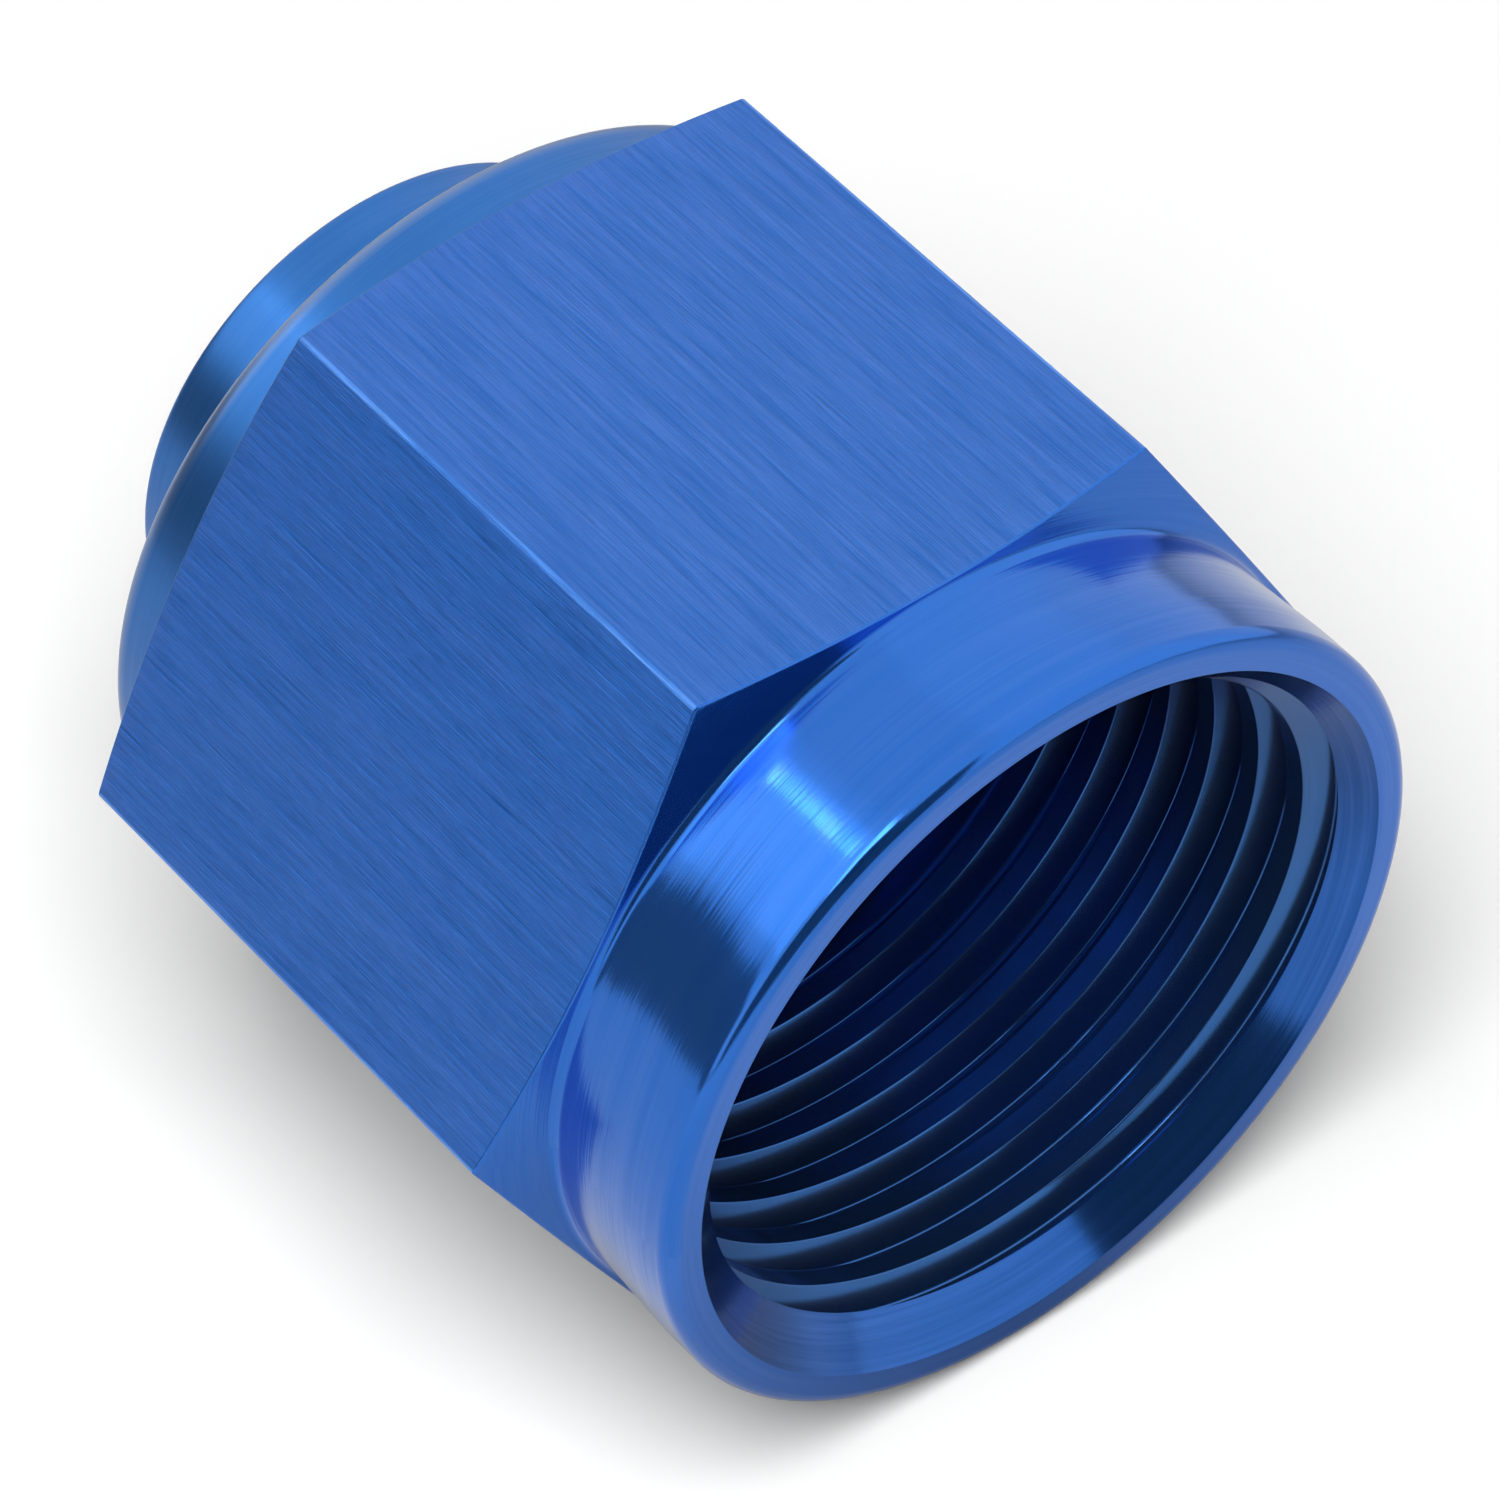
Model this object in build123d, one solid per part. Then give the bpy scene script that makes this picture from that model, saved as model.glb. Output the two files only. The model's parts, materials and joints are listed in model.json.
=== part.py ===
from build123d import *
from math import cos, pi, radians, sin, tan
import os

# Threaded protection cap: one piece turned from hexagon bar. It lies on one flat, with its axis along X
# and its open mouth towards +X. Lengths are in millimetres, and angles in degrees from the axis.

# Thread inside: 7/8 inch across the crests of the male thread, 14 turns to the inch
thread_diameter = 22.225
thread_pitch = 25.4 / 14
thread_height = 0.88
thread_depth = 12.8
relief_clearance = 0.15

# Mouth: a 45 degree countersink inside a narrow flat rim
countersink_over_thread = 0.34
countersink_angle = 45.0
rim_round = 0.45

# Hexagon: metal between the thread and each flat, and the eased corners
flat_wall = 1.5875
hexagon_edge_round = 0.15
front_chamfer = 14.2
rear_chamfer = 16.8

# Collar in front of the hexagon, a shade smaller than the flats, which widens slowly up to its lip, with
# the small slope that the tool's corner leaves at its root
collar_length = 4.92
collar_step = 0.28
lip_step = 0.16
lip_length = 1.6
lip_ramp = 2.2
collar_root_corner = 0.2

# Shoulder behind the hexagon, its edge eased in small slopes, and the stub that closes the cap
shoulder_length = 2.0
shoulder_step = 0.34
shoulder_round = 0.45
shoulder_slopes = 3
stub_length = 4.58
stub_step = 4.26
stub_edge_break = 0.2

# Blind end: relief, cone seat for the flared tube end, drilled pocket and closed wall
seat_step = 0.33
seat_width = 4.3
seat_angle = 37.0
pocket_length = 2.0
drill_point = 118.0
end_wall = 3.59

# Radii
thread_radius = thread_diameter / 2
minor_radius = thread_radius - thread_height
relief_radius = thread_radius + relief_clearance
countersink_radius = thread_radius + countersink_over_thread
seat_radius = minor_radius - seat_step
pocket_radius = seat_radius - seat_width
flat_radius = thread_radius + flat_wall
corner_radius = flat_radius / cos(pi / 6)
lip_radius = flat_radius - lip_step
collar_radius = flat_radius - collar_step
shoulder_radius = flat_radius - shoulder_step
stub_radius = shoulder_radius - stub_step

# Lengths that follow
seat_length = seat_width / tan(radians(seat_angle))
point_length = pocket_radius / tan(radians(drill_point / 2))
bore_length = thread_depth + thread_pitch + seat_length + pocket_length + point_length
overall_length = bore_length + end_wall
axis_height = flat_radius

# Places along the axis, with the middle of the cap at zero
rim_x = overall_length / 2
closed_x = -overall_length / 2
hexagon_front_x = rim_x - collar_length
shoulder_x = closed_x + stub_length
hexagon_rear_x = shoulder_x + shoulder_length
relief_x = rim_x - thread_depth
seat_x = relief_x - thread_pitch
pocket_x = seat_x - seat_length
point_x = pocket_x - pocket_length
tip_x = point_x - point_length

TURNING_AXIS = Axis((0, 0, axis_height), (1, 0, 0))
SECTION = Plane((0, 0, axis_height), x_dir=(1, 0, 0), z_dir=(0, -1, 0))
ACROSS = Plane((0, 0, axis_height), x_dir=(0, 1, 0), z_dir=(1, 0, 0))


def turned(corners):
    """Solid turned about the cap's axis from an open line of (place, radius, rounding) corners."""
    points = [(place, radius) for place, radius, _ in corners]
    roundings = [rounding for _, _, rounding in corners[1:-1]]
    line = FilletPolyline(*points, radius=roundings)
    section = make_face([*line.edges(), Line(points[-1], points[0])])
    return revolve(SECTION * section, axis=TURNING_AXIS, revolution_arc=360)


def eased_edge(place, radius, rounding, slopes):
    """Corners of an outer edge that is eased in small slopes, from its end face out to its cylinder."""
    corners = []
    for i in range(slopes + 1):
        angle = pi / 2 * i / slopes
        corners.append((place + rounding * (1 - cos(angle)), radius - rounding * (1 - sin(angle)), 0))
    return corners


def chamfer_run(radius, angle):
    """How far a chamfered end face falls back from the middle of the flats at a radius."""
    return (radius - flat_radius) * tan(radians(angle))


def turned_blank():
    """Outside of the cap as the lathe leaves it, with a plain cylinder where the hexagon is."""
    rear_root_x = hexagon_rear_x + chamfer_run(shoulder_radius, rear_chamfer)
    rear_corner_x = hexagon_rear_x + chamfer_run(corner_radius, rear_chamfer)
    front_corner_x = hexagon_front_x - chamfer_run(corner_radius, front_chamfer)
    front_root_x = hexagon_front_x - chamfer_run(collar_radius + collar_root_corner, front_chamfer)
    rim_width = lip_radius - countersink_radius
    return turned(
        [
            (closed_x, 0, 0),
            (closed_x, stub_radius - stub_edge_break, 0),
            (closed_x + stub_edge_break, stub_radius, 0),
            (shoulder_x, stub_radius, 0),
            *eased_edge(shoulder_x, shoulder_radius, shoulder_round, shoulder_slopes),
            (rear_root_x, shoulder_radius, 0),
            (rear_corner_x, corner_radius, 0),
            (front_corner_x, corner_radius, 0),
            (front_root_x, collar_radius + collar_root_corner, 0),
            (front_root_x + collar_root_corner, collar_radius, 0),
            (rim_x - lip_length - lip_ramp, collar_radius, 0),
            (rim_x - lip_length, lip_radius, 0),
            (rim_x, lip_radius, min(rim_round, rim_width / 2)),
            (rim_x, 0, 0),
        ]
    )


def hexagon_bar():
    """Hexagon bar with eased corners and one flat down, longer than the cap at both ends."""
    outline = RegularPolygon(flat_radius, side_count=6, major_radius=False, rotation=0)
    outline = fillet(outline.vertices(), hexagon_edge_round)
    return extrude(ACROSS * outline, overall_length, both=True)


def inside():
    """What the drill, the boring bar and the tap take out, from the mouth to the drill's point."""
    countersink_length = (countersink_radius - minor_radius) / tan(radians(countersink_angle))
    return turned(
        [
            (rim_x, 0, 0),
            (rim_x, countersink_radius, 0),
            (rim_x - countersink_length, minor_radius, 0),
            (relief_x, minor_radius, 0),
            (relief_x - (relief_radius - minor_radius), relief_radius, 0),
            (seat_x, relief_radius, 0),
            (seat_x, seat_radius, 0),
            (pocket_x, pocket_radius, 0),
            (point_x, pocket_radius, 0),
            (tip_x, 0, 0),
        ]
    )


def cap_body():
    body = (turned_blank() & hexagon_bar()) - inside()
    body.label = "cap_body"
    return body


os.makedirs("parts", exist_ok=True)
export_step(cap_body(), "parts/cap_body.step")
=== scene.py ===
# Blue anodised protection cap with its thread cut in full, and the studio that it is shown in.
# Every length is in metres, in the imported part's own frame.

import json
import math
from typing import NamedTuple

import bmesh
import bpy
from bpy.props import FloatProperty, FloatVectorProperty, IntProperty, PointerProperty
from bpy.types import Operator, Panel, PropertyGroup
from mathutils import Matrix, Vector


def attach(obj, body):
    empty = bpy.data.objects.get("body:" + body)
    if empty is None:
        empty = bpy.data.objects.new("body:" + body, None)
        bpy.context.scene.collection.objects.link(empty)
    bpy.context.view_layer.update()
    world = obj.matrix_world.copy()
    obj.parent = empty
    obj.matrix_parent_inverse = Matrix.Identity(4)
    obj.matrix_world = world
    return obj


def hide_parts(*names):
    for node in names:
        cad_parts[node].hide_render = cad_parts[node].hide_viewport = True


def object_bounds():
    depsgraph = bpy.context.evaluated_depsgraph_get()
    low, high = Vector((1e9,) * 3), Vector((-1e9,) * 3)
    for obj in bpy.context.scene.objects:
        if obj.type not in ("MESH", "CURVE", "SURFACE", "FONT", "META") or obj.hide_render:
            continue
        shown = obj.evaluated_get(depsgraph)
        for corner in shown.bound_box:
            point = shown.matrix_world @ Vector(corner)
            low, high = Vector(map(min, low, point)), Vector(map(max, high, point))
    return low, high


bl_info = {
    "name": "Protection cap",
    "version": (1, 0, 0),
    "blender": (4, 5, 0),
    "location": "3D View > Sidebar > Cap",
    "description": "Turned hexagon cap with an internal thread, and its studio",
    "category": "Add Mesh",
}

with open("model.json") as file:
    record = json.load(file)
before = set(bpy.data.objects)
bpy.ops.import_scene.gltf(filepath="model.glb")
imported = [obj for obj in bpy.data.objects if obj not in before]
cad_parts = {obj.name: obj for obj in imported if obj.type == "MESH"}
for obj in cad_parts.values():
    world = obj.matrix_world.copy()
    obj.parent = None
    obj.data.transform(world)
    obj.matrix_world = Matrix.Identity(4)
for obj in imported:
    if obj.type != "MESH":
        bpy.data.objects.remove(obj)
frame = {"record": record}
CAD_LOW, CAD_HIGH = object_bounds()
NODE = "cap_body"
MM = 0.001
INCH = 25.4 * MM
TURNS_TO_THE_INCH = 14
TURN = 2 * math.pi
FLATS = 6
SECTOR = TURN / FLATS
AXIS_HEIGHT = (CAD_HIGH.z + CAD_LOW.z) / 2
BLACK = (0.0, 0.0, 0.0)
WHITE = (1.0, 1.0, 1.0)
THREAD_MOUNT = next(m for m in frame["record"]["mounts"] if m["name"] == "thread")


# Sizes, finishes and studio that a user would change

class CapSizes(PropertyGroup):
    """Sizes of the outside"""

    flat_radius: FloatProperty(
        name="Axis to flat", description="Half the width across flats",
        default=(CAD_HIGH.z - CAD_LOW.z) / 2, unit="LENGTH")
    hexagon_edge_round: FloatProperty(
        name="Hexagon edge", description="Rounding of the long edges between flats",
        default=0.15 * MM, unit="LENGTH")
    chamfer_edge_round: FloatProperty(
        name="Chamfer edge", description="Rounding where the end chamfers meet the flats",
        default=0.07 * MM, unit="LENGTH")
    front_chamfer: FloatProperty(
        name="Front chamfer", description="How far the front end face leans back",
        default=math.radians(14.2), subtype="ANGLE")
    rear_chamfer: FloatProperty(
        name="Rear chamfer", description="How far the rear end face leans forward",
        default=math.radians(16.8), subtype="ANGLE")
    collar_length: FloatProperty(
        name="Collar length", description="Hexagon face to rim", default=4.92 * MM, unit="LENGTH")
    collar_step: FloatProperty(
        name="Collar step", description="Drop from the flats to the collar",
        default=0.28 * MM, unit="LENGTH")
    collar_root_round: FloatProperty(
        name="Collar root", description="Hollow between the front chamfer and the collar",
        default=0.28 * MM, unit="LENGTH")
    lip_step: FloatProperty(
        name="Lip step", description="Drop from the flats to the lip",
        default=0.16 * MM, unit="LENGTH")
    lip_length: FloatProperty(
        name="Lip length", description="Length of the raised lip", default=1.6 * MM, unit="LENGTH")
    lip_ramp: FloatProperty(
        name="Lip ramp", description="Length over which the collar widens to the lip",
        default=2.2 * MM, unit="LENGTH")
    ramp_round: FloatProperty(
        name="Ramp rounding", description="Radius that eases both ends of the lip's ramp",
        default=14.0 * MM, unit="LENGTH")
    rim_round: FloatProperty(
        name="Rim rounding", description="Rounding outside the rim",
        default=0.45 * MM, unit="LENGTH")
    shoulder_length: FloatProperty(
        name="Shoulder length", description="Hexagon to the shoulder's rear face",
        default=2.0 * MM, unit="LENGTH")
    shoulder_step: FloatProperty(
        name="Shoulder step", description="Drop from the flats to the shoulder",
        default=0.34 * MM, unit="LENGTH")
    shoulder_round: FloatProperty(
        name="Shoulder rounding", description="Rounding of the shoulder's rear edge",
        default=0.45 * MM, unit="LENGTH")
    shoulder_root_round: FloatProperty(
        name="Shoulder root", description="Hollow between the rear chamfer and the shoulder",
        default=0.12 * MM, unit="LENGTH")
    stub_length: FloatProperty(
        name="Stub length", description="Shoulder to the closed end",
        default=4.58 * MM, unit="LENGTH")
    stub_step: FloatProperty(
        name="Stub step", description="Drop from the shoulder to the stub",
        default=4.26 * MM, unit="LENGTH")
    stub_root_round: FloatProperty(
        name="Stub root", description="Hollow between the shoulder and the stub",
        default=0.25 * MM, unit="LENGTH")
    stub_edge_round: FloatProperty(
        name="Stub edge", description="Rounding of the closed end's edge",
        default=0.2 * MM, unit="LENGTH")


class ThreadSizes(PropertyGroup):
    """Sizes of the mouth, the thread and all that lies behind it"""

    groove_radius: FloatProperty(
        name="Groove radius", description="Axis to the bottom of the groove",
        default=11.0525 * MM, unit="LENGTH")
    minor_radius: FloatProperty(
        name="Bore radius", description="Axis to the crests of the thread",
        default=THREAD_MOUNT["dims"]["r_mm"] * MM, unit="LENGTH")
    pitch: FloatProperty(
        name="Pitch", description="Advance in one turn",
        default=INCH / TURNS_TO_THE_INCH, unit="LENGTH")
    first_crest: FloatProperty(
        name="First crest", description="Rim to the first crest at the cap's left side",
        default=2.024 * MM, unit="LENGTH")
    depth: FloatProperty(
        name="Thread depth", description="Rim to relief", default=12.8 * MM, unit="LENGTH")
    crest_round: FloatProperty(
        name="Crest rounding", description="Edge break of the crests",
        default=0.03 * MM, unit="LENGTH")
    root_round: FloatProperty(
        name="Root rounding", description="Hollow at the bottom of the groove",
        default=0.1 * MM, unit="LENGTH")
    mouth_radius: FloatProperty(
        name="Mouth radius", description="Axis to the countersink's edge",
        default=11.4525 * MM, unit="LENGTH")
    relief_radius: FloatProperty(
        name="Relief radius", description="Axis to the relief behind the thread",
        default=11.2625 * MM, unit="LENGTH")
    relief_round: FloatProperty(
        name="Relief rounding", description="Hollow where the relief begins",
        default=0.1 * MM, unit="LENGTH")
    seat_root_round: FloatProperty(
        name="Seat root", description="Hollow between the relief and the seat's face",
        default=0.2 * MM, unit="LENGTH")
    seat_edge_round: FloatProperty(
        name="Seat edges", description="Edge break of both ends of the cone seat",
        default=0.05 * MM, unit="LENGTH")
    point_round: FloatProperty(
        name="Point rounding", description="Hollow where the pocket meets the drill's point",
        default=0.1 * MM, unit="LENGTH")
    seat_step: FloatProperty(
        name="Seat step", description="Drop from the bore to the cone seat",
        default=0.33 * MM, unit="LENGTH")
    seat_width: FloatProperty(
        name="Seat width", description="Width of the seat, square to the axis",
        default=4.3 * MM, unit="LENGTH")
    seat_angle: FloatProperty(
        name="Seat angle", description="Seat to axis", default=math.radians(37.0), subtype="ANGLE")
    pocket_length: FloatProperty(
        name="Pocket length", description="Straight part of the drilled pocket",
        default=2.0 * MM, unit="LENGTH")
    drill_point: FloatProperty(
        name="Drill point", description="Whole angle of the drill's point",
        default=math.radians(118.0), subtype="ANGLE")


class MeshSteps(PropertyGroup):
    """How finely the mesh is cut"""

    flat_columns: IntProperty(
        name="Columns on a flat", description="Columns across each flat", default=48)
    edge_columns: IntProperty(
        name="Columns on an edge", description="Columns round each long edge", default=6)
    round_steps: IntProperty(
        name="Steps in a rounding", description="Rows round each turned corner outside", default=6)
    inside_steps: IntProperty(
        name="Steps inside", description="Rows round each corner behind the thread", default=3)


class CapFinish(PropertyGroup):
    """Colours and surface of the anodised metal"""

    blue: FloatVectorProperty(
        name="Dye", description="Colour that the dyed metal reflects", subtype="COLOR",
        default=(0.018, 0.165, 0.67), min=0.0, max=1.0)
    deep_blue: FloatVectorProperty(
        name="Deep dye", description="Colour where the dye took deeper", subtype="COLOR",
        default=(0.013, 0.137, 0.55), min=0.0, max=1.0)
    mid_blue: FloatVectorProperty(
        name="Turned dye", description="Slightly deeper dye between the turning marks", subtype="COLOR",
        default=(0.015, 0.15, 0.62), min=0.0, max=1.0)
    cone_blue: FloatVectorProperty(
        name="Countersink dye", description="Deeper dye on the countersink", subtype="COLOR",
        default=(0.007, 0.08, 0.34), min=0.0, max=1.0)
    # The thread's darker, greyer colours are painted shade of the bore
    inside_blue: FloatVectorProperty(
        name="Inside dye", description="Colour of the thread, where less dye reached", subtype="COLOR",
        default=(0.035, 0.15, 0.46), min=0.0, max=1.0)
    inside_deep_blue: FloatVectorProperty(
        name="Deep inside dye", description="Deeper colour inside", subtype="COLOR",
        default=(0.03, 0.125, 0.36), min=0.0, max=1.0)
    rear_blue: FloatVectorProperty(
        name="Rear dye", description="Duller dye on the shoulder and the stub", subtype="COLOR",
        default=(0.024, 0.174, 0.56), min=0.0, max=1.0)
    rear_deep_blue: FloatVectorProperty(
        name="Deep rear dye", description="Deeper dye between the rear's turning marks", subtype="COLOR",
        default=(0.02, 0.158, 0.51), min=0.0, max=1.0)
    # Paler colour along the hexagon's long edges: a painted highlight
    edge_blue: FloatVectorProperty(
        name="Long edge dye", description="Paler dye along the hexagon's long edges", subtype="COLOR",
        default=(0.08, 0.31, 0.95), min=0.0, max=1.0)
    # Pale colour along the shoulder's rear edge: a painted highlight
    shoulder_highlight_colour: FloatVectorProperty(
        name="Worn edge", description="Colour where the dye is worn off the shoulder", subtype="COLOR",
        default=(0.27, 0.36, 0.55), min=0.0, max=1.0)
    roughness: FloatProperty(
        name="Roughness", description="Roughness of the drawn flats",
        default=0.32, min=0.0, max=1.0, subtype="FACTOR")
    turned_roughness: FloatProperty(
        name="Turned roughness", description="Roughness of the collar, countersink and thread",
        default=0.15, min=0.0, max=1.0, subtype="FACTOR")
    rear_roughness: FloatProperty(
        name="Rear roughness", description="Roughness of the shoulder and the stub",
        default=0.32, min=0.0, max=1.0, subtype="FACTOR")
    inside_coat_roughness: FloatProperty(
        name="Inside skin roughness", description="Roughness of the clear skin on the thread",
        default=0.5, min=0.0, max=1.0, subtype="FACTOR")
    coat: FloatProperty(
        name="Sealed skin", description="Strength of the clear skin on the flats",
        default=0.75, min=0.0, max=1.0, subtype="FACTOR")
    turned_coat: FloatProperty(
        name="Turned skin", description="Strength of the clear skin on the turned faces",
        default=0.5, min=0.0, max=1.0, subtype="FACTOR")
    inside_coat: FloatProperty(
        name="Inside skin", description="Strength of the clear skin on the thread",
        default=0.6, min=0.0, max=1.0, subtype="FACTOR")
    haze: FloatProperty(
        name="Haze", description="Share of light that the oxide scatters",
        default=0.08, min=0.0, max=1.0, subtype="FACTOR")
    flat_relief: FloatProperty(
        name="Drawn lines", description="Depth of the lines on the flats",
        default=0.03 * MM, unit="LENGTH")
    turned_relief: FloatProperty(
        name="Turning marks", description="Depth of the turning marks on the collar and the lip",
        default=0.008 * MM, unit="LENGTH")
    fine_relief: FloatProperty(
        name="Fine marks", description="Depth of the marks on the countersink, the shoulder and the stub",
        default=0.003 * MM, unit="LENGTH")


class StudioLook(PropertyGroup):
    """Paper, lamp, cards and camera"""

    paper: FloatVectorProperty(
        name="Paper", description="Colour of the table and the white room", subtype="COLOR",
        default=WHITE, min=0.0, max=1.0)
    lamp_power: FloatProperty(
        name="Lamp", description="Power of the soft lamp in front", default=5.15, unit="POWER")
    front_card: FloatProperty(
        name="Front card", description="Brightness of the front lamp in the metal", default=5.0)
    left_card: FloatProperty(
        name="Left card", description="Brightness of the large card at the left", default=1.6)
    streak_card: FloatProperty(
        name="Streak card", description="Brightness of the small card that streaks the collar",
        default=12.0)
    back_card: FloatProperty(
        name="Back card", description="Brightness of the long card behind", default=0.9)
    front_flag: FloatProperty(
        name="Front flag", description="Grey of the dark card at the right of the camera", default=0.08)
    left_flag: FloatProperty(
        name="Left flag", description="Grey of the dark card beside the left flats", default=0.17)
    lens_card: FloatProperty(
        name="Lens card", description="Grey of the camera itself in the metal", default=0.02)
    overhead_strip: FloatProperty(
        name="Overhead strip", description="Grey of the strip overhead", default=0.9)
    lens: FloatProperty(
        name="Lens", description="Focal length of the camera, in millimetres",
        default=189.5, unit="CAMERA")
    camera_place: FloatVectorProperty(
        name="Camera", description="Where the camera stands", subtype="XYZ", unit="LENGTH",
        default=(114.182 * MM, -88.476 * MM, 169.840 * MM))
    camera_heading: FloatProperty(
        name="Heading", description="Camera's turn about the vertical",
        default=math.radians(51.705), subtype="ANGLE")
    camera_drop: FloatProperty(
        name="Drop", description="Camera's tilt below the horizon",
        default=math.radians(47.7325), subtype="ANGLE")


# Outline of one column, from the middle of the closed end to the start of the thread

def corner_points(before, corner, after, radius, steps):
    """Points of a rounded corner in the half plane of place along the axis and radius."""
    towards, away = (before - corner).normalized(), (after - corner).normalized()
    half = math.acos(max(-1.0, min(1.0, towards.dot(away)))) / 2
    reach = radius / math.tan(half)
    centre = corner + (towards + away).normalized() * radius / math.sin(half)
    start, end = corner + towards * reach - centre, corner + away * reach - centre
    turn = start.angle_signed(end)
    points = []
    for i in range(steps + 1):
        angle = -turn * i / steps
        c, s = math.cos(angle), math.sin(angle)
        points.append(centre + Vector((start.x * c - start.y * s, start.x * s + start.y * c)))
    return points


def rounded_line(corners, steps):
    """Points along (place, radius, rounding, cuts) corners, cuts being the spans up to the next corner."""
    places = [Vector(corner[:2]) for corner in corners]
    groups = [[places[0]]]
    for i in range(1, len(corners) - 1):
        rounding = corners[i][2]
        if rounding:
            groups.append(corner_points(places[i - 1], places[i], places[i + 1], rounding, steps))
        else:
            groups.append([places[i]])
    groups.append([places[-1]])
    points = []
    for i, group in enumerate(groups):
        points.extend(group)
        if i + 1 < len(groups):
            first, last, cuts = group[-1], groups[i + 1][0], corners[i][3]
            points.extend(first.lerp(last, share) for share in spans(cuts))
    return points


# Share of a run between its end and the nearest cut, which keeps the run flat right up to its rounding
SUPPORT = 0.04


def spans(cuts):
    """Shares of a run at which it is cut: close to both ends, and evenly between."""
    if cuts == 0:
        return []
    return [SUPPORT + (1 - 2 * SUPPORT) * i / cuts for i in range(cuts + 1)]


def long_edge(sizes):
    """Axis to the middle of a long edge's rounding, and the angle off a flat's middle where it starts."""
    middle = (sizes.flat_radius - sizes.hexagon_edge_round) / math.cos(SECTOR / 2)
    return middle, math.atan(middle * math.sin(SECTOR / 2) / sizes.flat_radius)


def hexagon_radius(angle, sizes):
    """Axis to the hexagon's surface at an angle, with its long edges rounded."""
    off = abs((angle - TURN / 4 + SECTOR / 2) % SECTOR - SECTOR / 2)
    middle, edge_start = long_edge(sizes)
    if off <= edge_start:
        return sizes.flat_radius / math.cos(off)
    lean = SECTOR / 2 - off
    across = middle * math.sin(lean)
    return middle * math.cos(lean) + math.sqrt(sizes.hexagon_edge_round ** 2 - across ** 2)


def column_angles(sizes, steps):
    """Angles of the columns about the axis, close together at the hexagon's long edges."""
    edge_start = long_edge(sizes)[1]
    half_edge = SECTOR / 2 - edge_start
    support = edge_start - half_edge
    angles = []
    for flat in range(FLATS):
        middle = TURN / 4 + flat * SECTOR
        for i in range(steps.flat_columns + 1):
            angles.append(middle - support + 2 * support * i / steps.flat_columns)
        for i in range(steps.edge_columns + 1):
            angles.append(middle + edge_start + 2 * half_edge * i / steps.edge_columns)
    return angles


# Share of an end's radius that is left open for the fan that closes it
NEAR_AXIS = 0.02


def outside_line(hexagon, sizes, thread, steps):
    """Column of the outside where the hexagon's surface is at one radius."""
    flat = sizes.flat_radius
    front_x = CAD_HIGH.x - sizes.collar_length
    shoulder_x = CAD_LOW.x + sizes.stub_length
    rear_x = shoulder_x + sizes.shoulder_length
    shoulder = flat - sizes.shoulder_step
    stub = shoulder - sizes.stub_step
    collar = flat - sizes.collar_step
    lip = flat - sizes.lip_step
    mouth = thread.mouth_radius
    rear = math.tan(sizes.rear_chamfer)
    front = math.tan(sizes.front_chamfer)
    edge = sizes.chamfer_edge_round
    ramp_x = CAD_HIGH.x - sizes.lip_length - sizes.lip_ramp
    corners = [
        (CAD_LOW.x, stub * NEAR_AXIS, 0, 3),
        (CAD_LOW.x, stub, sizes.stub_edge_round, 3),
        (shoulder_x, stub, sizes.stub_root_round, 2),
        (shoulder_x, shoulder, sizes.shoulder_round, 1),
        (rear_x - sizes.shoulder_step * rear, shoulder, sizes.shoulder_root_round, 1),
        (rear_x + (hexagon - flat) * rear, hexagon, edge, 4),
        (front_x - (hexagon - flat) * front, hexagon, edge, 1),
        (front_x + sizes.collar_step * front, collar, sizes.collar_root_round, 2),
        (ramp_x, collar, sizes.ramp_round, 1),
        (ramp_x + sizes.lip_ramp, lip, sizes.ramp_round, 1),
        (CAD_HIGH.x, lip, sizes.rim_round, 1),
        (CAD_HIGH.x, mouth, 0, 0),
    ]
    return rounded_line(corners, steps.round_steps)


def back_line(thread, steps):
    """Column of the inside behind the thread, from the relief to the drill's point."""
    relief_x = CAD_HIGH.x - thread.depth
    relief = thread.relief_radius
    seat_x = relief_x - thread.pitch
    seat = thread.minor_radius - thread.seat_step
    pocket = seat - thread.seat_width
    pocket_x = seat_x - thread.seat_width / math.tan(thread.seat_angle)
    point_x = pocket_x - thread.pocket_length
    tip_x = point_x - pocket / math.tan(thread.drill_point / 2)
    slope_x = relief_x - (relief - thread.minor_radius)
    corners = [
        (relief_x, thread.minor_radius, 0, 0),
        (slope_x, relief, thread.relief_round, 1),
        (seat_x, relief, thread.seat_root_round, 0),
        (seat_x, seat, thread.seat_edge_round, 2),
        (pocket_x, pocket, thread.seat_edge_round, 1),
        (point_x, pocket, thread.point_round, 1),
        (tip_x, pocket * NEAR_AXIS, 0, 0),
    ]
    return rounded_line(corners, steps.inside_steps)


# The thread

FLANK_ANGLE = math.radians(30)
ROOT_SHARE = 1 / 8
THREAD_CORNER_STEPS = 2

# Turns past the thread's depth, which the countersink and the relief clip
SPARE_TURNS = 2


def thread_turn(thread):
    """One pitch of the thread from a crest's middle towards the mouth, as (advance, radius) points."""
    pitch = thread.pitch
    height = thread.groove_radius - thread.minor_radius
    flank = height * math.tan(FLANK_ANGLE)
    root = pitch * ROOT_SHARE
    crest = pitch - root - 2 * flank
    low, high = thread.minor_radius, thread.groove_radius
    corners = [
        (0, low, 0, 1),
        (crest / 2, low, thread.crest_round, 2),
        (crest / 2 + flank, high, thread.root_round, 0),
        (crest / 2 + flank + root, high, thread.root_round, 2),
        (pitch - crest / 2, low, thread.crest_round, 1),
        (pitch, low, 0, 0),
    ]
    return rounded_line(corners, THREAD_CORNER_STEPS)[:-1]


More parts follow.
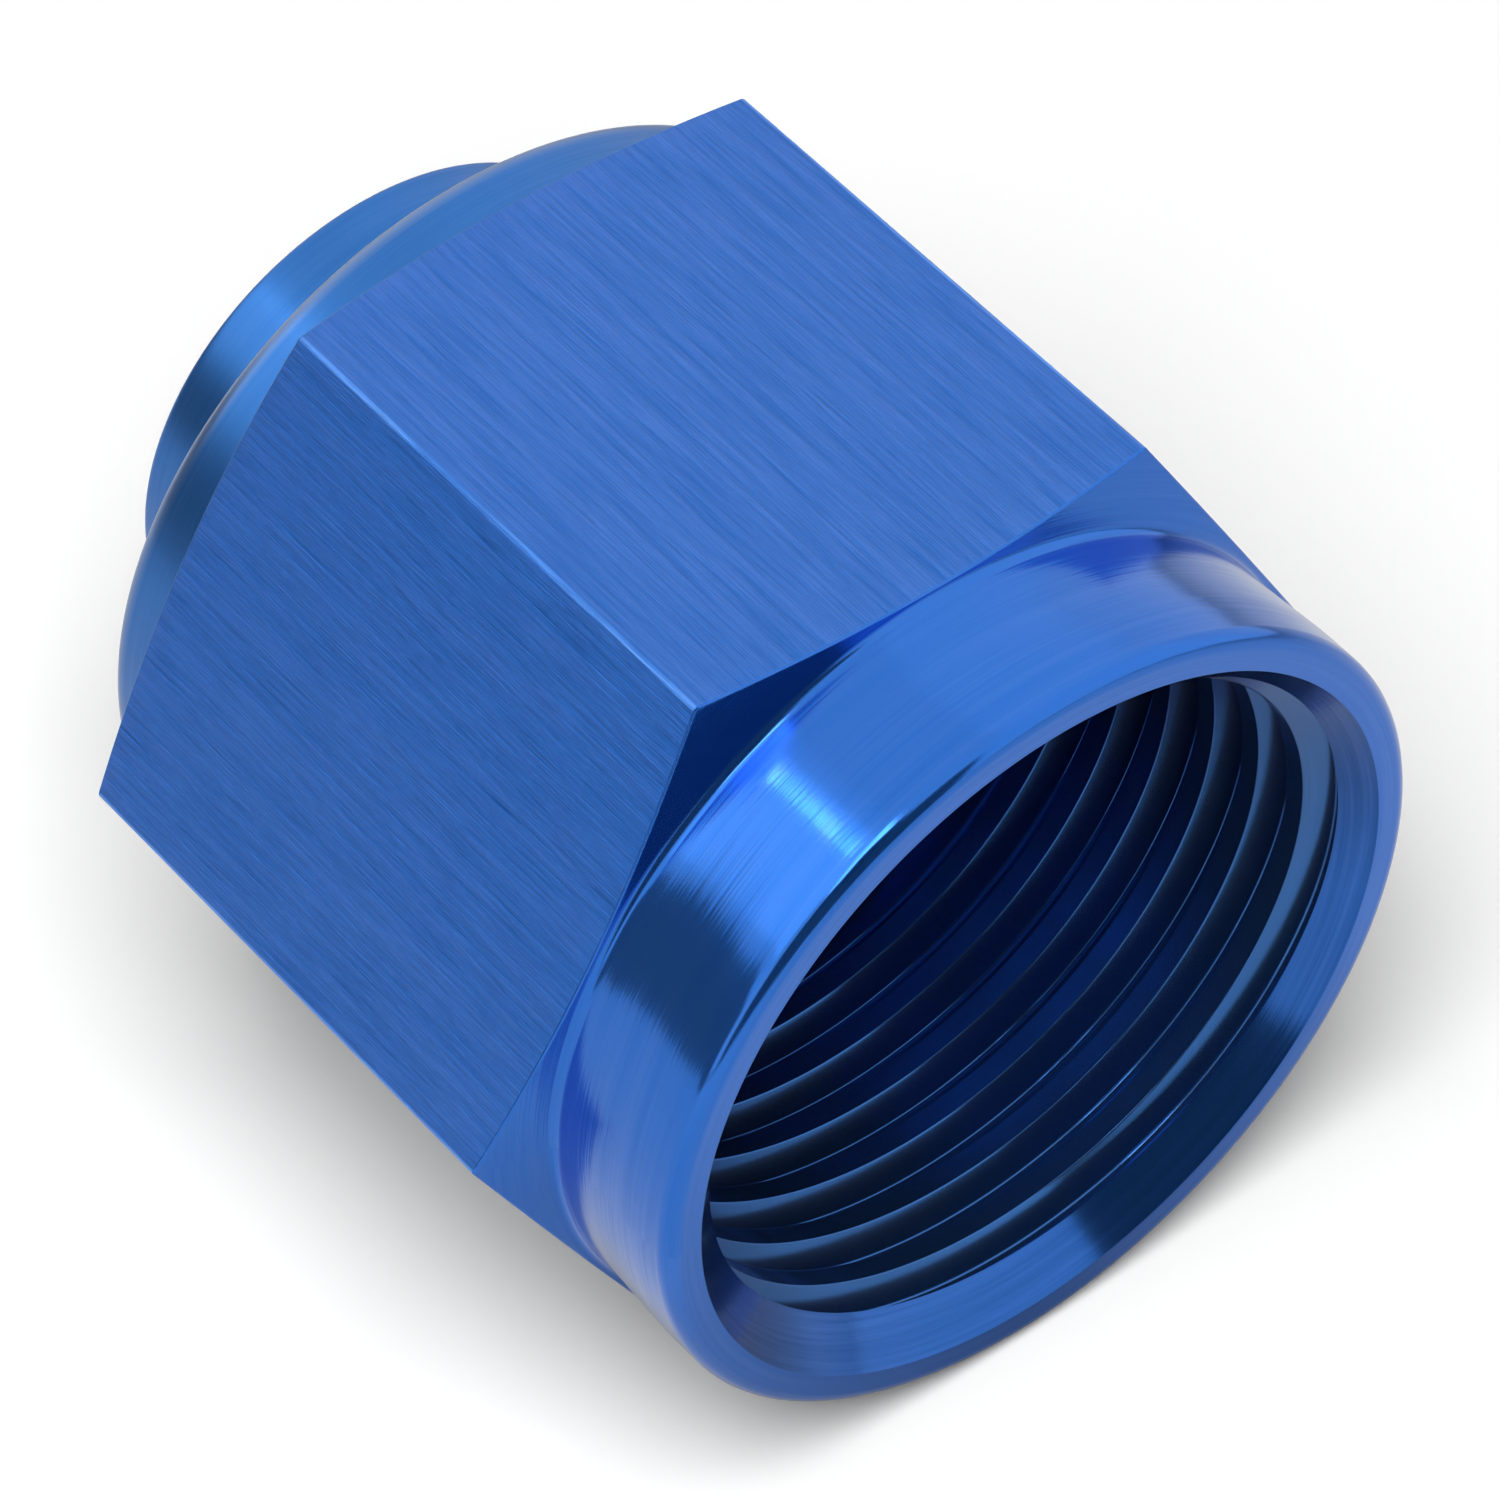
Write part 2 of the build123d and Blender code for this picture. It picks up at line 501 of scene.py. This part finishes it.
def thread_columns(angles, thread):
    """Columns of the threaded wall from the mouth inwards, and the rows in one turn."""
    turn = thread_turn(thread)
    turns = math.ceil(thread.depth / thread.pitch) + SPARE_TURNS
    columns = []
    for angle in angles:
        crest_x = CAD_HIGH.x - thread.first_crest + thread.pitch * angle / TURN
        column = [
            [crest_x - back * thread.pitch + point.x, point.y]
            for back in range(turns) for point in reversed(turn)
        ]
        columns.append(clipped(column, thread))
    return columns, len(turn)


def clipped(column, thread):
    """Column cut by the 45 degree countersink at the mouth and by the relief at the back."""
    rim_x, mouth = CAD_HIGH.x, thread.mouth_radius
    end_x = rim_x - thread.depth

    def over(point):
        return (mouth - (rim_x - point[0])) - point[1]

    crossings = {}
    for i in range(len(column) - 1):
        a, b = over(column[i]), over(column[i + 1])
        if a * b < 0 and column[i][0] < rim_x + thread.pitch:
            share = a / (a - b)
            place = [column[i][j] + (column[i + 1][j] - column[i][j]) * share for j in (0, 1)]
            near, far = (i, i + 1) if share < 0.5 else (i + 1, i)
            crossings[far if near in crossings else near] = place
    result = []
    for x, radius in column:
        radius = max(radius, mouth - (rim_x - x))
        result.append([x, radius])
    for row, place in crossings.items():
        result[row] = place
    for point in result:
        if point[0] > rim_x:
            point[0], point[1] = rim_x, mouth
        if point[0] < end_x:
            point[0], point[1] = end_x, thread.minor_radius
    return result


# The mesh

# Edges are sharp from this angle on. Then come the distances under which two points are welded, a point
# lies on the same line, and a point lies on the countersink.
SHARP_FROM = math.radians(35)
WELD = 0.0004 * MM
SAME_LINE = 0.0001 * MM
ON_CONE = 1e-6 * MM

REGIONS = ("drawn flats", "turned front", "countersink", "thread", "turned rear")
DRAWN, FRONT, COUNTERSINK, THREAD, REAR = range(len(REGIONS))


class CapMesh:
    """Collects the vertices and faces of the cap, with the region of each face."""

    def __init__(self, angles):
        self.angles = angles
        self.vertices = []
        self.faces = []
        self.regions = []

    def ring_point(self, place, radius, angle):
        """Adds a vertex at a place along the axis, and gives its number."""
        y, z = radius * math.cos(angle), AXIS_HEIGHT + radius * math.sin(angle)
        self.vertices.append((place, y, z))
        return len(self.vertices) - 1

    def grid(self, columns, region_of):
        """Faces between columns of (place, radius), all the way round."""
        rows = len(columns[0])
        index = [
            [self.ring_point(p[0], p[1], angle) for p in column]
            for column, angle in zip(columns, self.angles)
        ]
        for i in range(len(columns)):
            here, there = index[i], index[(i + 1) % len(columns)]
            for j in range(rows - 1):
                self.faces.append((here[j], there[j], there[j + 1], here[j + 1]))
                self.regions.append(region_of(j))
        return index

    def close(self, ring, place, region, outward):
        """Fan that closes the middle of the closed end or of the drill's point."""
        middle = self.ring_point(place, 0.0, 0.0)
        for a, b in zip(ring, ring[1:] + ring[:1]):
            self.faces.append((middle, b, a) if outward else (middle, a, b))
            self.regions.append(region)

    def thread_face(self, corners, on_cone):
        """One face of the thread, cut in two along the countersink's edge where that runs across it."""
        crossed = on_cone.count(False) == 1 or on_cone in ([True, False] * 2, [False, True] * 2)
        if not crossed:
            self.faces.append(corners)
            self.regions.append(COUNTERSINK if all(on_cone) else THREAD)
            return
        off = on_cone.index(False)
        for start in (off, off + 2):
            piece = [(start + step) % len(corners) for step in (-1, 0, 1)]
            self.faces.append(tuple(corners[k] for k in piece))
            self.regions.append(COUNTERSINK if all(on_cone[k] for k in piece) else THREAD)

    def helix(self, columns, per_turn, mouth):
        """Faces of the thread, whose rows step by one turn where the last column meets the first."""
        index = [
            [self.ring_point(p[0], p[1], angle) for p in column]
            for column, angle in zip(columns, self.angles)
        ]
        cone = [
            [abs(mouth - (CAD_HIGH.x - p[0]) - p[1]) < ON_CONE for p in column] for column in columns
        ]
        rows = len(columns[0])
        for i in range(len(columns)):
            shift = 0 if i + 1 < len(columns) else per_turn
            after = (i + 1) % len(columns)
            for j in range(rows - 1 - shift):
                places = ((i, j + shift), (after, j), (after, j + 1), (i, j + shift + 1))
                corners = tuple(index[column][row] for column, row in places)
                self.thread_face(corners, [cone[column][row] for column, row in places])


def build_cap_mesh(sizes, thread, steps):
    """Whole surface of the cap as one closed mesh."""
    angles = column_angles(sizes, steps)
    maker = CapMesh(angles)
    outside = [outside_line(hexagon_radius(a, sizes), sizes, thread, steps) for a in angles]
    flat_rows = rows_on_flats(sizes, thread, steps)

    def region(row):
        if row in flat_rows:
            return DRAWN
        return REAR if row < min(flat_rows) else FRONT

    outer = maker.grid(outside, region)
    maker.close([column[0] for column in outer], CAD_LOW.x, REAR, True)
    columns, per_turn = thread_columns(angles, thread)
    maker.helix(columns, per_turn, thread.mouth_radius)
    back = [back_line(thread, steps)] * len(angles)
    inner = maker.grid(back, lambda row: THREAD)
    tip = back[0][-1]
    tip_x = tip.x - tip.y / math.tan(thread.drill_point / 2)
    maker.close([column[-1] for column in inner], tip_x, THREAD, False)
    mesh = bpy.data.meshes.new("anodised_cap")
    mesh.from_pydata(maker.vertices, [], maker.faces)
    mesh.polygons.foreach_set("material_index", maker.regions)
    return mesh


def rows_on_flats(sizes, thread, steps):
    """Rows of the outside line that lie on the flats, read off one half-way from middle to edge."""
    hexagon = sizes.flat_radius / math.cos(SECTOR / 4)
    line = outside_line(hexagon, sizes, thread, steps)
    on_flat = [abs(point.y - hexagon) < SAME_LINE for point in line]
    return {row for row in range(len(line) - 1) if on_flat[row] and on_flat[row + 1]}


def weld(mesh):
    """Joins the seams, drops the faces that the clipping flattened, and marks the sharp edges."""
    work = bmesh.new()
    work.from_mesh(mesh)
    bmesh.ops.remove_doubles(work, verts=work.verts, dist=WELD)
    bmesh.ops.dissolve_degenerate(work, edges=work.edges, dist=WELD)
    for face in work.faces:
        face.smooth = True
    bmesh.ops.recalc_face_normals(work, faces=work.faces)
    for edge in work.edges:
        regions = {face.material_index for face in edge.link_faces}
        at_countersink = COUNTERSINK in regions and len(regions) > 1
        edge.smooth = edge.calc_face_angle(0.0) <= SHARP_FROM and not at_countersink
    work.to_mesh(mesh)
    work.free()


# Finishes

# Reflections are stretched square to the worked lines. Their turn is counted from the tangent round the
# axis, where a quarter is a right angle.
STRETCH = 0.6
TURN_ON_FLATS = 0.0
TURN_ON_RINGS = 0.25

SKIN_IOR = 1.5

# Lines on the flats: how often each layer varies along the cap and across it, per metre, their detail, and
# the levels of the noise that are taken as darkest and palest
FLAT_LINES = ((150.0, 3500.0), (300.0, 9000.0), (500.0, 20000.0))
FLAT_DETAIL = 4.0
FLAT_LEVELS = (0.41, 0.59)

# Turning marks: how often each layer varies along and outwards, per metre, and round the axis, per radian
RINGS = ((3000.0, 0.7), (12000.0, 2.0))
RING_DETAIL = 3.0
RING_LEVELS = (0.2, 0.8)

# Clear skin: its least share, and what the grain adds to it
FLAT_SKIN = (0.45, 1.1)
RING_SKIN = (0.3, 1.4)

# Painted highlight along the shoulder's rear edge, a pale line in the colour: how far its middle lies from
# the rear face and under the shoulder, how far it reaches, and its strength in the middle
SHOULDER_HIGHLIGHT_AHEAD = 0.15 * MM
SHOULDER_HIGHLIGHT_UNDER = 0.12 * MM
SHOULDER_HIGHLIGHT_REACH = 0.5 * MM
SHOULDER_HIGHLIGHT_MOST = 0.9

# Painted highlight along the long edges: how far under the corner it starts and is full, and its least
# strength there
LONG_EDGE_HIGHLIGHT = (0.03 * MM, 0.01 * MM)
LONG_EDGE_HIGHLIGHT_LEAST = 0.4


class Worked(NamedTuple):
    """Finish of one region; a depth of nought leaves its skin even and its face smooth."""

    dyes: tuple
    roughness: float
    coat: float
    coat_roughness: float
    haze: float
    depth: float


class Nodes:
    """Short hand for adding and linking shader nodes."""

    def __init__(self, tree):
        self.tree = tree

    def add(self, kind, **settings):
        """New node with its settings."""
        node = self.tree.nodes.new(kind)
        for name, value in settings.items():
            setattr(node, name, value)
        return node

    def link(self, source, target):
        """Joins an output to an input."""
        self.tree.links.new(source, target)

    def math(self, operation, a, b=0.0):
        """Result of a sum on two numbers or outputs."""
        node = self.add("ShaderNodeMath", operation=operation)
        for socket, value in zip(node.inputs, (a, b)):
            if isinstance(value, (int, float)):
                socket.default_value = value
            else:
                self.link(value, socket)
        return node.outputs[0]

    def ramp(self, value, source, target=(0.0, 1.0)):
        """Value carried over from one range to another, and held at both ends."""
        node = self.add("ShaderNodeMapRange")
        node.inputs["From Min"].default_value, node.inputs["From Max"].default_value = source
        node.inputs["To Min"].default_value, node.inputs["To Max"].default_value = target
        self.link(value, node.inputs["Value"])
        return node.outputs[0]

    def mix(self, factor, a, b):
        """Colour between two, each of them an output or a plain colour."""
        node = self.add("ShaderNodeMix", data_type="RGBA")
        for socket, colour in zip((node.inputs["A"], node.inputs["B"]), (a, b)):
            if isinstance(colour, bpy.types.NodeSocket):
                self.link(colour, socket)
            else:
                socket.default_value = opaque(colour)
        self.link(factor, node.inputs["Factor"])
        return node.outputs["Result"]


def opaque(colour):
    """Colour with the full alpha that a socket asks for."""
    return (*colour, 1.0)


def new_material(name):
    """Material with its nodes and its shader."""
    material = bpy.data.materials.new(name)
    material.use_nodes = True
    return material, Nodes(material.node_tree), material.node_tree.nodes["Principled BSDF"]


def metal(region, finish, turn):
    """Anodised metal, worked in lines, under its clear skin."""
    material, nodes, shader = new_material(REGIONS[region])
    shader.inputs["Metallic"].default_value = 1.0 - finish.haze
    shader.inputs["Roughness"].default_value = finish.roughness
    shader.inputs["Anisotropic"].default_value = STRETCH
    shader.inputs["Anisotropic Rotation"].default_value = turn
    shader.inputs["Coat Weight"].default_value = finish.coat
    shader.inputs["Coat Roughness"].default_value = finish.coat_roughness
    shader.inputs["Coat IOR"].default_value = SKIN_IOR
    tangent = nodes.add("ShaderNodeTangent", direction_type="RADIAL", axis="X")
    nodes.link(tangent.outputs[0], shader.inputs["Tangent"])
    return material, nodes, shader


def streaks(nodes, coordinates, detail, levels):
    """Noise along worked lines, stretched to the full range between two of its levels."""
    grain = nodes.add("ShaderNodeTexNoise")
    grain.inputs["Scale"].default_value = 1.0
    grain.inputs["Detail"].default_value = detail
    nodes.link(coordinates, grain.inputs["Vector"])
    return nodes.ramp(grain.outputs["Fac"], levels)


def about_axis(nodes, split):
    """Angle about the cap's axis and distance from it."""
    height = nodes.math("SUBTRACT", split.outputs["Z"], AXIS_HEIGHT)
    y2 = nodes.math("MULTIPLY", split.outputs["Y"], split.outputs["Y"])
    z2 = nodes.math("MULTIPLY", height, height)
    return nodes.math("ARCTAN2", height, split.outputs["Y"]), nodes.math("SQRT", nodes.math("ADD", y2, z2))


def shoulder_highlight(nodes, along, radius, sizes):
    """Painted highlight along the shoulder's rear edge."""
    edge_x = CAD_LOW.x + sizes.stub_length + SHOULDER_HIGHLIGHT_AHEAD
    edge_radius = sizes.flat_radius - sizes.shoulder_step - SHOULDER_HIGHLIGHT_UNDER
    x = nodes.math("SUBTRACT", along, edge_x)
    r = nodes.math("SUBTRACT", radius, edge_radius)
    off = nodes.math("SQRT", nodes.math("ADD", nodes.math("MULTIPLY", x, x), nodes.math("MULTIPLY", r, r)))
    return nodes.ramp(off, (0.0, SHOULDER_HIGHLIGHT_REACH), (SHOULDER_HIGHLIGHT_MOST, 0.0))


def long_edge_highlight(nodes, radius, sizes, grain):
    """Uneven painted highlight along the hexagon's long edges."""
    corner = long_edge(sizes)[0] + sizes.hexagon_edge_round
    edge_highlight = nodes.ramp(radius, [corner - under for under in LONG_EDGE_HIGHLIGHT])
    return nodes.math("MULTIPLY", edge_highlight, nodes.math("ADD", grain, LONG_EDGE_HIGHLIGHT_LEAST))


def skin_and_relief(nodes, shader, grain, share, finish):
    """Clear skin that is thicker, and metal that stands higher, where the grain is high."""
    least, spread = share
    skin = nodes.math("ADD", nodes.math("MULTIPLY", grain, spread), least)
    nodes.link(nodes.math("MULTIPLY", skin, finish.coat), shader.inputs["Coat Weight"])
    bump = nodes.add("ShaderNodeBump")
    bump.inputs["Distance"].default_value = finish.depth
    nodes.link(grain, bump.inputs["Height"])
    nodes.link(bump.outputs[0], shader.inputs["Normal"])


def drawn_flats(finish, edge_blue, sizes):
    """Bright-drawn bar: broad and fine lines along the cap, with a painted highlight along the long edges.
    """
    material, nodes, shader = metal(DRAWN, finish, TURN_ON_FLATS)
    place = nodes.add("ShaderNodeTexCoord")
    lines = []
    for along, across in FLAT_LINES:
        stretch = nodes.add("ShaderNodeMapping")
        stretch.inputs["Scale"].default_value = (along, across, across)
        nodes.link(place.outputs["Object"], stretch.inputs["Vector"])
        lines.append(streaks(nodes, stretch.outputs[0], FLAT_DETAIL, FLAT_LEVELS))
    grain = nodes.math("DIVIDE", nodes.math("ADD", nodes.math("ADD", *lines[:2]), lines[2]), len(lines))
    split = nodes.add("ShaderNodeSeparateXYZ")
    nodes.link(place.outputs["Object"], split.inputs[0])
    radius = about_axis(nodes, split)[1]
    colour = nodes.mix(grain, *finish.dyes)
    # Painted highlight along the long edges
    colour = nodes.mix(long_edge_highlight(nodes, radius, sizes, lines[0]), colour, edge_blue)
    nodes.link(colour, shader.inputs["Base Color"])
    skin_and_relief(nodes, shader, grain, FLAT_SKIN, finish)
    return material


def turned_metal(region, finish, shoulder_highlight_colour, sizes):
    """Turned surface: broad and fine rings about the axis, with a painted highlight along the shoulder's
    rear edge.
    """
    material, nodes, shader = metal(region, finish, TURN_ON_RINGS)
    place = nodes.add("ShaderNodeTexCoord")
    split = nodes.add("ShaderNodeSeparateXYZ")
    nodes.link(place.outputs["Object"], split.inputs[0])
    around, radius = about_axis(nodes, split)
    lines = []
    for ring, turn in RINGS:
        rings = nodes.add("ShaderNodeCombineXYZ")
        nodes.link(nodes.math("MULTIPLY", split.outputs["X"], ring), rings.inputs["X"])
        nodes.link(nodes.math("MULTIPLY", radius, ring), rings.inputs["Y"])
        nodes.link(nodes.math("MULTIPLY", around, turn), rings.inputs["Z"])
        lines.append(streaks(nodes, rings.outputs[0], RING_DETAIL, RING_LEVELS))
    grain = nodes.math("DIVIDE", nodes.math("ADD", *lines), len(lines))
    colour = nodes.mix(grain, *finish.dyes)
    if region == REAR:
        # Painted highlight along the shoulder's rear edge
        colour = nodes.mix(shoulder_highlight(nodes, split.outputs["X"], radius, sizes), colour, shoulder_highlight_colour)
    nodes.link(colour, shader.inputs["Base Color"])
    if finish.depth:
        skin_and_relief(nodes, shader, grain, RING_SKIN, finish)
    return material


def region_finishes(finish):
    """Finish of each region, from the values in the panel."""
    flats, turned, rear = finish.roughness, finish.turned_roughness, finish.rear_roughness
    coat, haze = finish.turned_coat, finish.haze
    return {
        DRAWN: Worked(
            (finish.deep_blue, finish.blue), flats, finish.coat, flats, haze, finish.flat_relief),
        FRONT: Worked(
            (finish.mid_blue, finish.blue), turned, coat, turned, haze, finish.turned_relief),
        COUNTERSINK: Worked(
            (finish.cone_blue, finish.deep_blue), turned, coat, turned, haze, finish.fine_relief),
        THREAD: Worked(
            (finish.inside_deep_blue, finish.inside_blue), turned, finish.inside_coat,
            finish.inside_coat_roughness, haze, 0.0),
        REAR: Worked(
            (finish.rear_deep_blue, finish.rear_blue), rear, coat, rear, haze, finish.fine_relief),
    }


def region_materials(finish, sizes):
    """One material for each region, in their order."""
    finishes = region_finishes(finish)
    materials = [drawn_flats(finishes[DRAWN], finish.edge_blue, sizes)]
    for region in (FRONT, COUNTERSINK, THREAD, REAR):
        materials.append(turned_metal(region, finishes[region], finish.shoulder_highlight_colour, sizes))
    return materials


# Studio

class Board(NamedTuple):
    """Flat lamp, card or floor: its width and depth, its middle and the point that it faces."""

    name: str
    size: tuple
    centre: tuple
    aim: tuple


# The floor lies just under the flat that the cap rests on, so that the two don't share a plane.
FLOOR_GAP = -0.01 * MM
FLOOR = Board("paper_floor", (6.0, 6.0), (0.0, 0.0, FLOOR_GAP), (0.0, 0.0, 1.0))

MIDDLE = (CAD_LOW + CAD_HIGH) / 2
LAMP = Board("front_softbox", (0.5, 0.5), (0.17, -0.2, 0.55), MIDDLE)

# Cards that only the metal sees, bright or dark. The studio's value of the same name is its brightness.
CARDS = (
    Board("front_card", (0.3, 0.3), (0.165, -0.195, 0.535), MIDDLE),
    Board("left_card", (0.7, 0.58), (-0.3, -0.51, 0.5), (-0.3, -0.51, 0.0)),
    Board("streak_card", (0.05, 0.03), (-0.35, -0.268, 0.485), MIDDLE),
    Board("back_card", (1.4, 0.5), (-0.4, 0.64, 0.2), (0.0, 0.0, 0.2)),
    Board("front_flag", (0.75, 0.6), (0.45, -0.22, 0.3), (0.0, 0.0, 0.3)),
    Board("left_flag", (0.3, 0.09), (-0.103, -0.148, 0.045), (0.0, 0.0, 0.045)),
    Board("lens_card", (0.09, 0.09), (0.125, -0.097, 0.185), MIDDLE),
    Board("overhead_strip", (0.9, 0.27), (-0.1, -0.035, 0.5), (-0.1, -0.035, 0.0)),
)

# Paper in the metal: its brightness, and a painted shadow on it at the foot of the mouth, which is twice
# as wide as it is long
PAPER_IN_METAL = 0.68
PAINTED_SHADOW_MIDDLE = (CAD_HIGH.x + 1.0 * MM, 0.0, 0.0)
PAINTED_SHADOW_REACH = 10.0 * MM
PAINTED_SHADOW_LEVEL = 0.3
PAINTED_SHADOW_NARROWING = (1.0, 0.5, 1.0)

# Paper to the eye: the glow that keeps it white, and the distances over which the far paper turns white
PAPER_GLOW = 0.03
FAR_PAPER = (0.12, 0.5)

# Share of the white room that lights matt surfaces
ROOM_LIGHT = 0.02

# Half a bounce: rays with fewer matt bounces than this have met none
NO_MATT_BOUNCE = 0.5

# Camera frame in millimetres, and the nearest and furthest things that it shows
FRAME_WIDTH = 36.0
VIEW_RANGE = (0.01, 20.0)


def set_up(thing, board, face):
    """Puts an object at a board's middle, with the given side of it towards the board's aim."""
    bpy.context.scene.collection.objects.link(thing)
    thing.location = board.centre
    thing.rotation_mode = "QUATERNION"
    thing.rotation_quaternion = (Vector(board.aim) - Vector(board.centre)).to_track_quat(face, "Y")


def board_object(board, material):
    """Flat rectangle of one material, which isn't part of the cap."""
    mesh = bpy.data.meshes.new(board.name)
    w, d = board.size[0] / 2, board.size[1] / 2
    mesh.from_pydata([(-w, -d, 0), (w, -d, 0), (w, d, 0), (-w, d, 0)], [], [(0, 1, 2, 3)])
    mesh.materials.append(material)
    thing = bpy.data.objects.new(board.name, mesh)
    set_up(thing, board, "Z")
    return thing


def unscattered(nodes, path):
    """One for rays that have met no matt surface."""
    return nodes.math("LESS_THAN", path.outputs["Diffuse Depth"], NO_MATT_BOUNCE)


def seen_rays(nodes):
    """One for what the camera sees, straight or in metal and glass, and nought for light on the table."""
    path = nodes.add("ShaderNodeLightPath")
    seen = nodes.math("MAXIMUM", path.outputs["Is Glossy Ray"], path.outputs["Is Transmission Ray"])
    seen = nodes.math("MULTIPLY", seen, unscattered(nodes, path))
    return nodes.math("MAXIMUM", seen, path.outputs["Is Camera Ray"])


def paper_material(paper):
    """White paper that shows at full white to the camera, darker in the metal with a painted shadow at the
    foot of the mouth, and keeps the cast shadow.
    """
    material, nodes, shader = new_material("paper")
    path = nodes.add("ShaderNodeLightPath")
    place = nodes.add("ShaderNodeNewGeometry")
    narrow = nodes.add("ShaderNodeVectorMath", operation="MULTIPLY")
    narrow.inputs[1].default_value = PAINTED_SHADOW_NARROWING
    nodes.link(place.outputs["Position"], narrow.inputs[0])
    away = nodes.add("ShaderNodeVectorMath", operation="DISTANCE")
    away.inputs[1].default_value = PAINTED_SHADOW_MIDDLE
    nodes.link(narrow.outputs[0], away.inputs[0])
    # Painted shadow on the paper in front of the mouth, which only the metal shows
    painted_shadow = nodes.ramp(away.outputs["Value"], (0.0, PAINTED_SHADOW_REACH), (PAINTED_SHADOW_LEVEL, 1.0))
    in_metal = nodes.math("MULTIPLY", painted_shadow, PAPER_IN_METAL)
    in_metal = nodes.math("MULTIPLY", in_metal, unscattered(nodes, path))
    straight = nodes.math("SUBTRACT", 1.0, path.outputs["Is Glossy Ray"])
    colour = nodes.mix(nodes.math("MAXIMUM", straight, in_metal), BLACK, paper)
    nodes.link(colour, shader.inputs["Base Color"])
    shader.inputs["Roughness"].default_value = 1.0
    shader.inputs["Specular IOR Level"].default_value = 0.0
    distance = nodes.add("ShaderNodeVectorMath", operation="LENGTH")
    nodes.link(place.outputs["Position"], distance.inputs[0])
    far = nodes.math(
        "MULTIPLY", nodes.ramp(distance.outputs["Value"], FAR_PAPER), path.outputs["Is Camera Ray"])
    glow = nodes.math("ADD", nodes.math("MULTIPLY", seen_rays(nodes), PAPER_GLOW), far)
    nodes.link(glow, shader.inputs["Emission Strength"])
    shader.inputs["Emission Color"].default_value = opaque(paper)
    return material


def card_material(name, level):
    """Grey or bright card, which glows for the metal only."""
    material, nodes, shader = new_material(name)
    shader.inputs["Base Color"].default_value = opaque(BLACK)
    shader.inputs["Specular IOR Level"].default_value = 0.0
    shader.inputs["Emission Color"].default_value = opaque(WHITE)
    nodes.link(nodes.math("MULTIPLY", seen_rays(nodes), level), shader.inputs["Emission Strength"])
    return material


def make_card(board, level):
    """Card that shows in the metal, and neither to the camera nor in the light on the paper."""
    card = board_object(board, card_material(board.name, level))
    card.visible_camera = False
    card.visible_diffuse = False
    card.visible_shadow = False


def make_lamp(board, power):
    """Soft rectangular lamp, for which the metal sees a card instead."""
    data = bpy.data.lights.new(board.name, "AREA")
    data.shape = "RECTANGLE"
    data.size, data.size_y = board.size
    data.energy = power
    thing = bpy.data.objects.new(board.name, data)
    set_up(thing, board, "-Z")
    thing.visible_glossy = False


def make_world(look):
    """White room that the camera and the metal see, and that hardly lights the cap."""
    world = bpy.data.worlds.new("studio")
    bpy.context.scene.world = world
    world.use_nodes = True
    nodes = Nodes(world.node_tree)
    back = world.node_tree.nodes["Background"]
    back.inputs["Color"].default_value = opaque(look.paper)
    strength = nodes.math("ADD", nodes.math("MULTIPLY", seen_rays(nodes), 1.0 - ROOM_LIGHT), ROOM_LIGHT)
    nodes.link(strength, back.inputs["Strength"])


def make_camera(look):
    """Camera at the photograph's viewing angle."""
    data = bpy.data.cameras.new("camera")
    data.sensor_width = FRAME_WIDTH
    data.lens = look.lens
    data.clip_start, data.clip_end = VIEW_RANGE
    camera = bpy.data.objects.new("camera", data)
    bpy.context.scene.collection.objects.link(camera)
    camera.location = look.camera_place
    camera.rotation_euler = (TURN / 4 - look.camera_drop, 0.0, look.camera_heading)
    bpy.context.scene.camera = camera


# Operators

class CAP_OT_make_cap(Operator):
    """Makes the cap's whole surface, thread included, and gives each region its finish"""

    bl_idname = "cap.make_cap"
    bl_label = "Make the cap"

    def execute(self, context):
        scene = context.scene
        mesh = build_cap_mesh(scene.cap_sizes, scene.cap_thread, scene.cap_steps)
        weld(mesh)
        for material in region_materials(scene.cap_finish, scene.cap_sizes):
            mesh.materials.append(material)
        cap = bpy.data.objects.new("anodised_cap", mesh)
        scene.collection.objects.link(cap)
        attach(cap, "root")
        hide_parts(NODE)
        return {"FINISHED"}


class CAP_OT_make_stage(Operator):
    """Makes the paper, the lamp, the cards, the white room and the camera"""

    bl_idname = "cap.make_stage"
    bl_label = "Make the studio"

    def execute(self, context):
        look = context.scene.cap_studio
        board_object(FLOOR, paper_material(look.paper))
        make_lamp(LAMP, look.lamp_power)
        for board in CARDS:
            make_card(board, getattr(look, board.name))
        make_world(look)
        make_camera(look)
        return {"FINISHED"}


GROUPS = {
    "cap_sizes": CapSizes,
    "cap_thread": ThreadSizes,
    "cap_steps": MeshSteps,
    "cap_finish": CapFinish,
    "cap_studio": StudioLook,
}


class CAP_PT_panel(Panel):
    """Sizes, finish and studio of the cap"""

    bl_idname = "CAP_PT_panel"
    bl_label = "Protection cap"
    bl_space_type = "VIEW_3D"
    bl_region_type = "UI"
    bl_category = "Cap"

    def draw(self, context):
        for group_name in GROUPS:
            group = getattr(context.scene, group_name)
            box = self.layout.box()
            for value_name in group.__annotations__:
                box.prop(group, value_name)
        self.layout.operator(CAP_OT_make_cap.bl_idname)
        self.layout.operator(CAP_OT_make_stage.bl_idname)


CLASSES = (*GROUPS.values(), CAP_OT_make_cap, CAP_OT_make_stage, CAP_PT_panel)


def register():
    """Adds the classes and the values that they hold."""
    for item in CLASSES:
        bpy.utils.register_class(item)
    for name, group in GROUPS.items():
        setattr(bpy.types.Scene, name, PointerProperty(type=group))


def unregister():
    """Takes the values and the classes away again."""
    for name in GROUPS:
        delattr(bpy.types.Scene, name)
    for item in reversed(CLASSES):
        bpy.utils.unregister_class(item)


def main():
    """Makes the cap and its studio."""
    register()
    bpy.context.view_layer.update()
    bpy.ops.cap.make_cap()
    bpy.ops.cap.make_stage()
    bpy.context.scene.view_settings.view_transform = "Standard"


if __name__ == "__main__":
    main()
